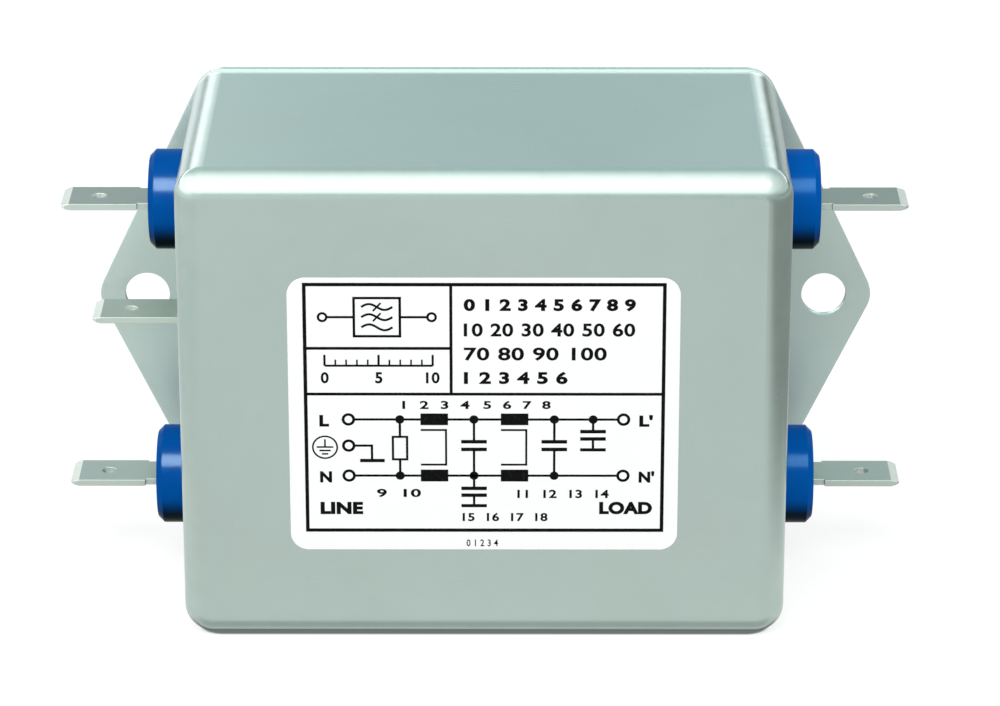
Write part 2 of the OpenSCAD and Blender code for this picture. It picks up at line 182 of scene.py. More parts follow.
def plated_sheet(name, base, rough=0.30, blotch=0.05, grain=0.03, wave=0.012,
                 streak=(1.0, 1.0, 1.0), box=None, seed=0.0, metal=1.0, bare_edge_and_highlight=0.0, sheet_axis=2,
                 painted_highlight_mouth=None, tip_highlight=(2.05, 2.02, 2.02)):
    """Plated sheet metal: slow blotches, fine grain, faint rolling or drawing
    streaks, a few hairline marks, and rubbed brighter edges where box gives
    the half sizes and centre of the body whose edges are rubbed."""
    material, t = new_material(name)
    at = t.shift(t.place(), seed, 1.7 * seed, -0.6 * seed)

    slow = t.noise(at, 17.0, 3.0, 0.55, 0.6)
    cloud = t.noise(t.shift(at, 31.0, 8.0, 4.0), 2.4, 4.0, 0.6)
    fine = t.noise(at, 0.22, 2.0, 0.6)
    lines = t.noise(t.stretch(at, *streak), 0.35, 3.0, 0.6)

    light = t.plus(t.times(t.minus(slow, 0.5), 2.2 * blotch),
                   t.times(t.minus(cloud, 0.5), 1.1 * blotch))
    light = t.plus(light, t.times(t.minus(fine, 0.5), 2.0 * grain))
    light = t.plus(light, t.times(t.minus(lines, 0.5), 1.2 * grain))
    level = t.math("ADD", light, 0.5, clamp=True)
    colour = t.mix(level, tone(base, 0.62), tone(base, 1.38))
    # the plating drifts a little between a cool and a warm grey
    colour = t.mix(t.ramp(t.noise(t.shift(at, -12.0, 3.0, 40.0), 26.0, 2.0), 0.35, 0.7, 0.0, 0.35),
                   colour, t.mix(1.0, colour, (1.02, 1.0, 0.965), "MULTIPLY"))

    # hairline handling marks: thin, sparse, and each only part of its length
    hair = t.cells(t.stretch(t.shift(at, 5.0, 9.0, 2.0), 0.35, 1.0, 1.1), 6.5, "DISTANCE_TO_EDGE")
    hair = t.ramp(hair, 0.0, 0.0045, 1.0, 0.0)
    hair = t.times(hair, t.ramp(t.noise(at, 5.0, 2.0), 0.56, 0.64))

    gloss = t.plus(rough, t.times(t.minus(cloud, 0.5), 0.11))
    gloss = t.plus(gloss, t.times(t.minus(lines, 0.5), 0.07))
    gloss = t.plus(gloss, t.times(hair, 0.10))
    if box:
        (hx, hy, hz), (cx, cy, cz) = box
        x, y, z = t.split(t.place())
        near = [t.ramp(t.math("ABSOLUTE", t.minus(v, c)), h - 2.6, h - 0.6)
                for v, c, h in ((x, cx, hx), (y, cy, hy), (z, cz, hz))]
        rub = t.math("ADD", t.times(near[0], near[1]),
                     t.plus(t.times(near[1], near[2]), t.times(near[0], near[2])), clamp=True)
        rub = t.times(rub, t.ramp(cloud, 0.28, 0.62, 0.45, 1.0))
        colour = t.mix(t.times(rub, 0.55), colour, t.mix(1.0, colour, (1.16, 1.15, 1.13), "MULTIPLY"))
        gloss = t.minus(gloss, t.times(rub, 0.06))

    normal = t.bump(t.noise(t.shift(at, 3.0, 14.0, 7.0), 12.0, 1.0), wave, 1.0)
    normal = t.bump(t.plus(t.times(fine, 0.6), t.times(lines, 0.4)), 0.0016, 1.0, normal)
    normal = t.bump(t.minus(1.0, hair), 0.0012, 1.0, normal)
    if painted_highlight_mouth is not None:
        # the mouth of a drawn can, brightened there as a painted highlight
        ring = t.ramp(t.split(t.place())[1], painted_highlight_mouth - 1.25, painted_highlight_mouth - 0.65)
        colour = t.mix(ring, colour, t.mix(1.0, colour, (1.66, 1.56, 1.60), "MULTIPLY"))
    if bare_edge_and_highlight:
        # the cut edges of stamped sheet: bare metal, and brighter all round its thickness as a painted highlight
        facing = t.split(t.add("ShaderNodeNewGeometry").outputs["True Normal"])
        edge = t.ramp(t.math("ABSOLUTE", facing[sheet_axis]), 0.30, 0.80, 1.0, 0.0)
        colour = t.mix(edge, colour, t.mix(1.0, colour, (bare_edge_and_highlight, bare_edge_and_highlight, bare_edge_and_highlight), "MULTIPLY"))
        if sheet_axis == 2:
            # a blade is coined at its tip and duller there and where it is cut; its tip facets are brightened as a
            # painted highlight
            facet = t.ramp(t.math("ABSOLUTE", facing[0]), 0.08, 0.20)
            colour = t.mix(t.times(facet, t.minus(1.0, t.times(edge, 0.7))), colour,
                           t.mix(1.0, colour, tip_highlight, "MULTIPLY"))
            gloss = t.plus(gloss, t.times(t.math("MAXIMUM", edge, facet), 0.16))
        else:
            gloss = t.minus(gloss, t.times(edge, 0.14))
            metal = t.ramp(edge, 0.0, 1.0, metal, 1.0)
    t.surface(Base_Color=colour, Metallic=metal, Roughness=gloss, Normal=normal)
    return material


def moulded(name, base, rough=0.30, texture=0.004, spread=0.10, specks=0.0, seed=0.0, coat=0.0, sheen=0.5,
            underside_shade=None):
    """Moulded plastic or resin: colour drift, erosion texture, dust marks, and if asked, painted shade where it faces
    down.
    """
    material, t = new_material(name)
    at = t.shift(t.place(), seed, -seed, 2.0 * seed)
    drift = t.noise(at, 6.0, 3.0, 0.55)
    cloud = t.noise(at, 0.9, 3.0, 0.6)
    spark = t.noise(at, 0.10, 2.0, 0.6)
    level = t.plus(t.times(drift, 0.7), t.times(cloud, 0.3))
    colour = t.mix(level, tone(base, 1.0 - spread), tone(base, 1.0 + spread))
    if specks:
        dots = t.ramp(t.cells(at, 0.8), 0.05, 0.16, 1.0, 0.0)
        colour = t.mix(t.times(dots, specks), colour, tuple(0.5 * c + 0.4 for c in base))
    if underside_shade:
        # painted shade: the colour goes dark where it faces the ground
        nz = t.split(t.add("ShaderNodeNewGeometry").outputs["Normal"])[2]
        colour = t.mix(t.ramp(nz, -0.62, -0.12, 1.0, 0.0), colour, underside_shade)
    gloss = t.plus(rough, t.times(t.minus(cloud, 0.5), 0.16))
    gloss = t.plus(gloss, t.times(t.ramp(drift, 0.55, 0.8), 0.05))
    normal = t.bump(t.noise(t.shift(at, 4.0, 1.0, 9.0), 3.5, 1.0), 0.03, 1.0)
    normal = t.bump(spark, texture, 1.0, normal)
    t.surface(Base_Color=colour, Roughness=gloss, Normal=normal, Specular_IOR_Level=sheen,
              Coat_Weight=coat, Coat_Roughness=0.12)
    return material


def sintered(name, base):
    """Ferrite: dull, very fine crystals with a few bright facets."""
    material, t = new_material(name)
    at = t.place()
    crystal = t.cells(at, 0.30)
    colour = t.mix(t.ramp(crystal, 0.0, 0.8), tone(base, 1.6), tone(base, 0.7))
    gloss = t.plus(0.55, t.times(t.noise(at, 0.8, 2.0), 0.2))
    t.surface(Base_Color=colour, Roughness=gloss, Metallic=0.2,
              Normal=t.bump(crystal, 0.012, 1.0))
    return material


def enamelled_copper(name):
    """Enamelled magnet wire: copper under amber enamel, in close turns."""
    material, t = new_material(name)
    at = t.place()
    drift = t.noise(at, 4.0, 3.0)
    fine = t.noise(t.stretch(at, 1.0, 5.0, 1.0), 0.5, 2.0)
    colour = t.mix(t.plus(t.times(drift, 0.6), t.times(fine, 0.4)), (0.42, 0.13, 0.045), (0.78, 0.33, 0.13))
    gloss = t.plus(0.22, t.times(fine, 0.14))
    t.surface(Base_Color=colour, Metallic=0.9, Roughness=gloss, Coat_Weight=0.6, Coat_Roughness=0.1,
              Normal=t.bump(fine, 0.006, 1.0))
    return material


def fibre_sheet(name):
    """Pressed insulation paper: fibres and a felted surface."""
    material, t = new_material(name)
    at = t.place()
    fibre = t.noise(t.stretch(at, 1.0, 1.0, 6.0), 0.7, 4.0, 0.65, 1.5)
    other = t.noise(t.stretch(at, 5.0, 1.0, 1.0), 0.9, 4.0, 0.65, 1.2)
    level = t.plus(t.times(fibre, 0.5), t.times(other, 0.5))
    colour = t.mix(t.ramp(level, 0.3, 0.7), (0.34, 0.21, 0.11), (0.52, 0.36, 0.21))
    t.surface(Base_Color=colour, Roughness=t.plus(0.62, t.times(fibre, 0.2)),
              Normal=t.bump(level, 0.03, 1.0))
    return material


def insulated_wire(name, base, stripe=None):
    """Extruded wire insulation, with a second colour wound round it if asked."""
    material, t = new_material(name)
    at = t.place()
    cloud = t.noise(at, 1.8, 3.0)
    colour = t.mix(cloud, tone(base, 0.86), tone(base, 1.12))
    if stripe:
        x, y, z = t.split(at)
        turn = t.math("SINE", t.plus(t.times(x, 1.9), t.times(z, 2.6)))
        colour = t.mix(t.ramp(turn, 0.25, 0.4), colour, stripe)
    gloss = t.plus(0.34, t.times(t.noise(at, 0.6, 2.0), 0.14))
    t.surface(Base_Color=colour, Roughness=gloss, Normal=t.bump(cloud, 0.02, 1.0))
    return material


def banded_resistor(name):
    """Lacquered resistor body with plain colour rings."""
    material, t = new_material(name)
    at = t.place()
    x, y, z = t.split(at)
    cloud = t.noise(at, 1.2, 3.0)
    colour = t.mix(cloud, (0.47, 0.33, 0.20), (0.60, 0.45, 0.29))
    rings = t.math("SINE", t.times(z, 3.4))
    colour = t.mix(t.ramp(rings, 0.62, 0.7), colour, (0.16, 0.05, 0.02))
    t.surface(Base_Color=colour, Roughness=t.plus(0.28, t.times(cloud, 0.12)), Normal=t.bump(cloud, 0.01, 1.0))
    return material


def film(name):
    """Printed label stock: a white satin film with faint fibre and lay marks."""
    material, t = new_material(name)
    at = t.place()
    slow = t.noise(at, 9.0, 3.0, 0.55)
    fine = t.noise(at, 0.16, 2.0, 0.6)
    colour = t.mix(t.plus(t.times(slow, 0.75), t.times(fine, 0.25)), (0.885, 0.905, 0.895), (0.945, 0.955, 0.950))
    gloss = t.plus(0.40, t.times(t.minus(fine, 0.5), 0.10))
    normal = t.bump(t.noise(t.shift(at, 2.0, 5.0, 1.0), 5.0, 2.0), 0.010, 1.0)
    normal = t.bump(fine, 0.0008, 1.0, normal)
    t.surface(Base_Color=colour, Roughness=gloss, Normal=normal, Specular_IOR_Level=0.45)
    return material


def ink(name):
    """Thermal-transfer print: near black, with pinholes and lighter patches."""
    material, t = new_material(name)
    at = t.place()
    patch = t.noise(at, 0.55, 3.0, 0.65)
    pores = t.noise(t.shift(at, 7.0, 1.0, 3.0), 0.10, 2.0, 0.7)
    level = t.plus(t.times(t.ramp(patch, 0.52, 0.86), 0.6), t.times(t.ramp(pores, 0.60, 0.85), 0.5))
    colour = t.mix(level, (0.002, 0.002, 0.002), (0.045, 0.047, 0.048))
    t.surface(Base_Color=colour, Roughness=t.plus(0.46, t.times(patch, 0.14)),
              Normal=t.bump(pores, 0.0015, 1.0), Specular_IOR_Level=0.06)
    return material


NICKEL = (0.455, 0.545, 0.515)
TIN = (0.355, 0.405, 0.370)

CAN = plated_sheet("can_steel", NICKEL, rough=0.23, streak=(1.0, 0.06, 1.0),
                   box=((CAN_X, CAN_DEPTH / 2 + 4, CAN_Z), (0.0, -CAN_DEPTH / 2 + 4, 0.0)), seed=3.0, painted_highlight_mouth=-1.0)
PLATE = plated_sheet("plate_steel", tone(NICKEL, 1.14), rough=0.42, blotch=0.06, streak=(0.06, 1.0, 1.0), seed=11.0,
                     metal=0.6, bare_edge_and_highlight=1.12, sheet_axis=1)
# painted light: upper and lower blades are lit and shaded copies of one tinned metal, the upper darker, the lower
# lighter, each with its own painted edge and tip highlights
BLADE_UPPER_PAINTED_LIGHT = plated_sheet("tinned_blade", tone(TIN, 0.77), rough=0.30, blotch=0.07, grain=0.04, wave=0.006,
                     streak=(0.08, 1.0, 1.0), seed=21.0, bare_edge_and_highlight=1.95, tip_highlight=(2.28, 2.02, 2.10))
BLADE_LOWER_PAINTED_LIGHT = plated_sheet("tinned_blade_lower_painted_light", tone(TIN, 1.08), rough=0.31, blotch=0.07, grain=0.04, wave=0.006,
                         streak=(0.08, 1.0, 1.0), seed=27.0, bare_edge_and_highlight=1.24, tip_highlight=(1.76, 1.56, 1.60))
EARTH = plated_sheet("earth_metal", tone(TIN, 0.98), rough=0.32, blotch=0.07, grain=0.04, wave=0.006,
                     streak=(0.08, 1.0, 1.0), seed=37.0, bare_edge_and_highlight=1.53, tip_highlight=(1.95, 1.77, 1.84))
SPRING = plated_sheet("spring_steel", (0.34, 0.36, 0.37), rough=0.26, blotch=0.05, seed=51.0)
# painted light: line and load bushings are lit and shaded copies of one blue plastic, the load ones lighter
BLUE = moulded("bushing_plastic", (0.0004, 0.077, 0.338), rough=0.20, texture=0.0025, spread=0.08, seed=5.0, sheen=0.010,
               underside_shade=(0.0015, 0.008, 0.013))
BLUE_LOAD_PAINTED_LIGHT = moulded("bushing_plastic_load_painted_light", (0.0004, 0.090, 0.395), rough=0.20, texture=0.0025, spread=0.08, seed=6.0,
                    sheen=0.010, underside_shade=(0.0015, 0.009, 0.015))
RESIN = moulded("resin", (0.030, 0.028, 0.026), rough=0.36, texture=0.010, spread=0.2, specks=0.06, seed=9.0)
FERRITE = sintered("ferrite", (0.055, 0.055, 0.060))
COPPER = enamelled_copper("copper")
DIVIDER = moulded("divider_plastic", (0.55, 0.52, 0.44), rough=0.42, seed=13.0)
X_CASE = moulded("x_cap_case", (0.55, 0.38, 0.06), rough=0.34, specks=0.05, seed=17.0)
Y_CASE = moulded("y_cap_case", (0.02, 0.16, 0.42), rough=0.28, specks=0.08, seed=19.0, coat=0.3)
RESISTOR = banded_resistor("resistor_body")
LINER = fibre_sheet("liner_sheet")
RED = insulated_wire("wire_red", (0.42, 0.025, 0.02))
BLUE_WIRE = insulated_wire("wire_blue", (0.02, 0.09, 0.42))
GREEN = insulated_wire("wire_green", (0.05, 0.26, 0.06), stripe=(0.62, 0.50, 0.03))
FILM = film("label_film")
INK = ink("label_ink")


def wear(node, material):
    """Gives a CAD node its procedural material."""
    mesh = NODES[node].data
    mesh.materials.clear()
    mesh.materials.append(material)


FINISH = {
    CAN: ["can"],
    PLATE: ["base_plate"],
    FILM: ["label"],
    BLUE: ["bushing_line_l", "bushing_line_n"],
    BLUE_LOAD_PAINTED_LIGHT: ["bushing_load_l", "bushing_load_n"],
    BLADE_UPPER_PAINTED_LIGHT: ["tab_line_l", "tab_load_l"],
    BLADE_LOWER_PAINTED_LIGHT: ["tab_line_n", "tab_load_n"],
    SPRING: ["retainer_line_l", "retainer_line_n", "retainer_load_l", "retainer_load_n"],
    EARTH: ["earth_tab", "earth_rivet"],
    LINER: ["liner"],
    RESIN: ["potting"],
    FERRITE: ["choke1_core", "choke2_core"],
    COPPER: ["choke1_winding_a", "choke1_winding_b", "choke2_winding_a", "choke2_winding_b"],
    DIVIDER: ["choke1_divider", "choke2_divider"],
    X_CASE: ["x_capacitor_1", "x_capacitor_2"],
    Y_CASE: ["y_capacitor_1", "y_capacitor_2"],
    RESISTOR: ["discharge_resistor"],
    RED: ["wire_line_l", "wire_mid_l", "wire_load_l", "wire_x1_l", "wire_x2_l", "wire_y_l"],
    BLUE_WIRE: ["wire_line_n", "wire_mid_n", "wire_load_n", "wire_x1_n", "wire_x2_n", "wire_y_n"],
    GREEN: ["wire_earth"],
}
for material, names in FINISH.items():
    for name in names:
        wear(name, material)
unfinished = sorted(set(NODES) - {n for names in FINISH.values() for n in names})
if unfinished:
    raise RuntimeError(f"no finish for {unfinished}")


# ---------------------------------------------------------------------------
# Stamped edges on the CAD nodes: a real edge is never knife sharp
# ---------------------------------------------------------------------------

def ease_edges(node, width, segments=3, angle=35.0):
    piece = NODES[node]
    weld = piece.modifiers.new("weld", "WELD")
    weld.merge_threshold = 0.001 * MM
    bevel = piece.modifiers.new("edge", "BEVEL")
    bevel.width = width * MM
    bevel.segments = segments
    bevel.limit_method = "ANGLE"
    bevel.angle_limit = math.radians(angle)
    bevel.use_clamp_overlap = True
    bevel.harden_normals = True
    bevel.miter_outer = "MITER_ARC"


for name in FINISH[BLADE_UPPER_PAINTED_LIGHT] + FINISH[BLADE_LOWER_PAINTED_LIGHT] + ["earth_tab"]:
    ease_edges(name, 0.06)
ease_edges("base_plate", 0.42, segments=6)


# ---------------------------------------------------------------------------
# The printed label. It takes the place of the plain CAD label: its film is a
# little thinner, and the print stands on it within the CAD label's thickness.
# The frame, the circuit drawing in standard symbols and the terminal letters
# are generic. The name, the marks, the ratings and the values are not drawn:
# their places hold plain counting numbers and a plain filter symbol.
# ---------------------------------------------------------------------------

FILM_BACK, FILM_FRONT, INK_FRONT = -40.0, -40.098, -40.110
LABEL_C = (0.0, -0.45)
LABEL_W, LABEL_H, LABEL_R = 45.3, 34.0, 2.1


def object_from(bm, name, material, smooth=False):
    mesh = bpy.data.meshes.new(name)
    bmesh.ops.recalc_face_normals(bm, faces=bm.faces[:])
    bm.to_mesh(mesh)
    bm.free()
    mesh.materials.append(material)
    for polygon in mesh.polygons:
        polygon.use_smooth = smooth
    piece = bpy.data.objects.new(name, mesh)
    SCENE.collection.objects.link(piece)
    return piece


def rounded_outline(cx, cz, w, h, r, steps=14):
    points = []
    for sx, sz, start in ((1, 1, 0), (-1, 1, 90), (-1, -1, 180), (1, -1, 270)):
        for k in range(steps + 1):
            a = math.radians(start + 90.0 * k / steps)
            points.append((cx + sx * (w / 2 - r) + r * math.cos(a), cz + sz * (h / 2 - r) + r * math.sin(a)))
    return points


def film_piece():
    """The die-cut film: flat, with its cut edge eased over the adhesive."""
    rings = ((FILM_BACK, 0.0), (FILM_FRONT + 0.045, 0.0), (FILM_FRONT + 0.018, 0.012),
             (FILM_FRONT + 0.004, 0.040), (FILM_FRONT, 0.085))
    bm = bmesh.new()
    loops = []
    for y, inset in rings:
        outline = rounded_outline(*LABEL_C, LABEL_W - 2 * inset, LABEL_H - 2 * inset, LABEL_R - inset)
        loops.append([bm.verts.new((x * MM, y * MM, z * MM)) for x, z in outline])
    for a, b in zip(loops, loops[1:]):
        for i in range(len(a)):
            j = (i + 1) % len(a)
            bm.faces.new((a[i], a[j], b[j], b[i]))
    bm.faces.new(loops[0])
    bm.faces.new(loops[-1])
    return object_from(bm, "printed_label_film", FILM, smooth=False)


class Print:
    """Gathers flat shapes, in label millimetres, and gives them the ink's thickness."""

    def __init__(self):
        self.bm = bmesh.new()
        self.lift = 0

    def shape(self, rings):
        """One filled shape. rings is a list of (outer, inner or None) outlines of equal length."""
        # each shape stands a hair off the one before, so that two that cross never share a plane
        self.lift = (self.lift + 1) % 7
        front, back = INK_FRONT + 0.0006 * self.lift, FILM_FRONT + 0.006
        bm = self.bm
        outer, inner = rings
        of = [bm.verts.new((x * MM, front * MM, z * MM)) for x, z in outer]
        ob = [bm.verts.new((x * MM, back * MM, z * MM)) for x, z in outer]
        n = len(of)
        if inner is None:
            bm.faces.new(of)
            bm.faces.new(ob[::-1])
        else:
            nf = [bm.verts.new((x * MM, front * MM, z * MM)) for x, z in inner]
            nb = [bm.verts.new((x * MM, back * MM, z * MM)) for x, z in inner]
            for i in range(n):
                j = (i + 1) % n
                bm.faces.new((of[i], of[j], nf[j], nf[i]))
                bm.faces.new((ob[j], ob[i], nb[i], nb[j]))
                bm.faces.new((nf[i], nf[j], nb[j], nb[i]))
        for i in range(n):
            j = (i + 1) % n
            bm.faces.new((of[j], of[i], ob[i], ob[j]))

    def rect(self, x0, z0, x1, z1):
        self.shape(([(x0, z0), (x1, z0), (x1, z1), (x0, z1)], None))

    def frame(self, x0, z0, x1, z1, w):
        self.shape(([(x0, z0), (x1, z0), (x1, z1), (x0, z1)],
                    [(x0 + w, z0 + w), (x1 - w, z0 + w), (x1 - w, z1 - w), (x0 + w, z1 - w)]))

    def line_h(self, x0, x1, z, w):
        self.rect(x0, z - w / 2, x1, z + w / 2)

    def line_v(self, x, z0, z1, w):
        self.rect(x - w / 2, z0, x + w / 2, z1)

    def disc(self, x, z, r, n=36):
        self.shape(([(x + r * math.cos(2 * math.pi * k / n), z + r * math.sin(2 * math.pi * k / n))
                     for k in range(n)], None))

    def ring(self, x, z, r, w, n=48, squash=1.0):
        self.shape((
            [(x + r * math.cos(2 * math.pi * k / n), z + squash * r * math.sin(2 * math.pi * k / n))
             for k in range(n)],
            [(x + (r - w) * math.cos(2 * math.pi * k / n), z + (squash * r - w) * math.sin(2 * math.pi * k / n))
             for k in range(n)],
        ))

    def stroke(self, points, w):
        """An even stroke along a line of points."""
        left, right = [], []
        for i, (x, z) in enumerate(points):
            x0, z0 = points[max(i - 1, 0)]
            x1, z1 = points[min(i + 1, len(points) - 1)]
            d = math.hypot(x1 - x0, z1 - z0)
            nx, nz = -(z1 - z0) / d * w / 2, (x1 - x0) / d * w / 2
            left.append((x + nx, z + nz))
            right.append((x - nx, z - nz))
        self.shape((left + right[::-1], None))

    def text(self, body, x0, z0, x1, z1, bold=0.03, anchor="FIT"):
        """Lettering fitted to a box: its height to z0..z1, and its width to x0..x1, or
        with anchor LEFT, CENTER or RIGHT its own width, placed by that edge."""
        curve = bpy.data.curves.new("lettering", "FONT")
        curve.body = body
        curve.size = 1.0
        curve.offset = bold
        curve.resolution_u = 5
        curve.space_character = 1.06
        holder = bpy.data.objects.new("lettering", curve)
        SCENE.collection.objects.link(holder)
        graph = bpy.context.evaluated_depsgraph_get()
        mesh = bpy.data.meshes.new_from_object(holder.evaluated_get(graph))
        bpy.data.objects.remove(holder)
        bpy.data.curves.remove(curve)
        xs = [v.co.x for v in mesh.vertices]
        ys = [v.co.y for v in mesh.vertices]
        tall = (z1 - z0) / (max(ys) - min(ys))
        if anchor == "FIT":
            wide = (x1 - x0) / (max(xs) - min(xs))
            left = x0
        else:
            wide = tall
            own = (max(xs) - min(xs)) * wide
            left = {"LEFT": x0, "CENTER": (x0 + x1 - own) / 2, "RIGHT": x1 - own}[anchor]
        part = bmesh.new()
        part.from_mesh(mesh)
        bpy.data.meshes.remove(mesh)
        bmesh.ops.remove_doubles(part, verts=part.verts[:], dist=1e-5)
        front, back = INK_FRONT + 0.0048, FILM_FRONT + 0.006
        for v in part.verts:
            v.co = Vector(((left + (v.co.x - min(xs)) * wide) * MM, front * MM, (z0 + (v.co.y - min(ys)) * tall) * MM))
        grown = bmesh.ops.extrude_face_region(part, geom=part.faces[:], use_keep_orig=True)
        for v in grown["geom"]:
            if isinstance(v, bmesh.types.BMVert):
                v.co.y = back * MM
        whole = bpy.data.meshes.new("lettering")
        part.to_mesh(whole)
        part.free()
        self.bm.from_mesh(whole)
        bpy.data.meshes.remove(whole)


def draw_label():
    p = Print()
    W = 0.42                                     # printed frame
    T = 0.28                                     # circuit lines

    # printed frame and its cells
    left, right, top, low = -20.86, 21.01, 15.96, -15.16
    p.frame(left, low, right, top, W)
    p.line_h(left + W, right - W, 2.22, 0.35)
    p.line_v(-3.78, 2.395, top - W, 0.35)
    p.line_h(left + W, -3.955, 7.90, 0.35)

    # first cell: the plain symbol of a low-pass filter between two terminals
    p.frame(-15.1, 9.25, -9.5, 14.25, 0.30)
    p.line_h(-18.1, -15.1, 11.75, T)
    p.line_h(-9.5, -6.5, 11.75, T)
    p.ring(-18.6, 11.75, 0.62, 0.28)
    p.ring(-6.0, 11.75, 0.62, 0.28)
    for k, z in enumerate((13.0, 11.75, 10.5)):
        p.stroke([(-14.1 + 3.6 * i / 24, z + 0.36 * math.sin(2 * math.pi * i / 24)) for i in range(25)], 0.27)
        if k < 2:
            p.stroke([(-12.75, z - 0.5), (-11.85, z + 0.5)], 0.22)

    # second cell: a plain scale from 0 to 10
    p.line_h(-18.4, -5.9, 5.75, 0.26)
    for k in range(11):
        x = -18.4 + 12.5 * k / 10
        p.line_v(x, 5.75, 5.75 + (1.35 if k % 5 == 0 else 0.75), 0.26 if k % 5 == 0 else 0.20)
    p.text("0", -18.9, 3.55, -17.9, 4.95, 0.03, "CENTER")
    p.text("5", -12.65, 3.55, -11.65, 4.95, 0.03, "CENTER")
    p.text("10", -6.9, 3.55, -4.9, 4.95, 0.03, "CENTER")

    # third cell: plain counting numbers
    p.text("0 1 2 3 4 5 6 7 8 9", -2.30, 12.47, 17.50, 14.03, 0.046)
    p.text("10 20 30 40 50 60", -2.30, 9.36, 17.45, 11.02, 0.026)
    p.text("70 80 90 100", -2.30, 6.38, 14.20, 8.02, 0.026)
    p.text("1 2 3 4 5 6", -2.30, 3.47, 9.70, 5.02, 0.040)

    # circuit drawing: both conductors
    zl, zn = -0.95, -8.02
    for z in (zl, zn):
        p.line_h(-15.0, -7.2, z, T)
        p.line_h(-4.3, 2.1, z, T)
        p.line_h(5.05, 15.5, z, T)
    for x, z in ((-15.73, zl), (-15.73, -4.24), (-15.73, zn), (16.22, zl), (16.22, zn)):
        p.ring(x, z, 0.78, 0.33)
    # earth terminal: its symbol in a ring, and its branch down to the can
    p.ring(-18.49, -4.45, 1.52, 0.20, squash=0.97)
    p.line_v(-18.49, -4.35, -3.45, 0.20)
    p.line_h(-19.45, -17.53, -4.42, 0.20)
    p.line_h(-19.15, -17.83, -4.86, 0.20)
    p.line_h(-18.85, -18.13, -5.28, 0.20)
    p.line_h(-15.0, -12.90, -4.24, T)
    p.line_v(-13.03, -5.95, -4.12, T)
    p.line_h(-14.42, -11.55, -6.12, 0.42)
    # discharge resistor
    p.line_v(-9.76, -3.15, zl, T)
    p.line_v(-9.76, zn, -5.93, T)
    p.frame(-10.72, -6.10, -8.80, -3.00, 0.27)
    # two common-mode chokes: a bar on each conductor, and the core between them
    for x0, x1 in ((-7.36, -4.16), (1.97, 5.17)):
        p.rect(x0, -1.66, x1, -0.20)
        p.rect(x0, -8.76, x1, -7.26)
        p.line_h(x0 + 0.02, x1 - 0.12, -2.27, 0.24)
        p.line_h(x0 + 0.02, x1 - 0.12, -6.63, 0.24)
        p.line_v(x1 - 0.24, -6.75, -2.15, 0.24)
    # capacitors between the conductors
    for x in (-1.15, 8.19):
        p.line_v(x, -3.74, zl, T)
        p.line_v(x, zn, -4.71, T)
        p.rect(x - 1.49, -3.96, x + 1.49, -3.52)
        p.rect(x - 1.49, -4.93, x + 1.49, -4.49)
    # capacitors to earth
    for x, z0, z1, z2, z3 in ((-1.15, zn, -9.63, -10.50, -11.83), (12.69, zl, -2.46, -3.38, -4.75)):
        p.line_v(x, z1, z0, T)
        p.line_v(x, z3, z2, T)
        p.rect(x - 1.49, z1 - 0.22, x + 1.49, z1 + 0.22)
        p.rect(x - 1.49, z2 - 0.22, x + 1.49, z2 + 0.22)
        p.rect(x - 1.49, z3 - 0.20, x + 1.49, z3 + 0.20)
    # joints
    for x, z in ((-9.76, zl), (-9.76, zn), (-1.15, zl), (-1.15, zn), (8.19, zl), (8.19, zn), (12.69, zl)):
        p.disc(x, z, 0.53)

    # terminal letters and side names, as on any such filter
    p.text("L", -19.10, -1.85, -17.98, -0.40, 0.050)
    p.text("N", -19.12, -8.90, -17.72, -7.48, 0.050)
    p.text("L'", 18.05, -1.85, 19.62, -0.38, 0.050)
    p.text("N'", 18.05, -8.90, 19.86, -7.44, 0.050)
    p.text("LINE", -19.12, -12.92, -14.14, -11.36, 0.056)
    p.text("LOAD", 13.48, -12.92, 19.66, -11.32, 0.056)

    # plain numbers where each symbol's value stood
    p.text("1  2  3  4", -9.45, 0.35, -1.65, 1.38, 0.030)
    p.text("5  6  7  8", -0.05, 0.35, 7.75, 1.38, 0.030)
    p.text("9  10", -12.50, -10.76, -7.36, -9.70, 0.030)
    p.text("11  12  13  14", 3.90, -10.87, 14.58, -9.80, 0.030)
    p.text("15  16  17  18", -2.50, -13.82, 7.44, -12.74, 0.030)
    p.text("0 1 2 3 4", -2.05, -17.02, 1.65, -16.14, 0.016)
    return object_from(p.bm, "printed_label_ink", INK)


film_obj = film_piece()
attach(film_obj, "root")
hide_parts("label")
print_obj = draw_label()
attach(print_obj, "root")


# ---------------------------------------------------------------------------
# Studio: a plain pale floor and one soft surround, brighter above and at left
# ---------------------------------------------------------------------------

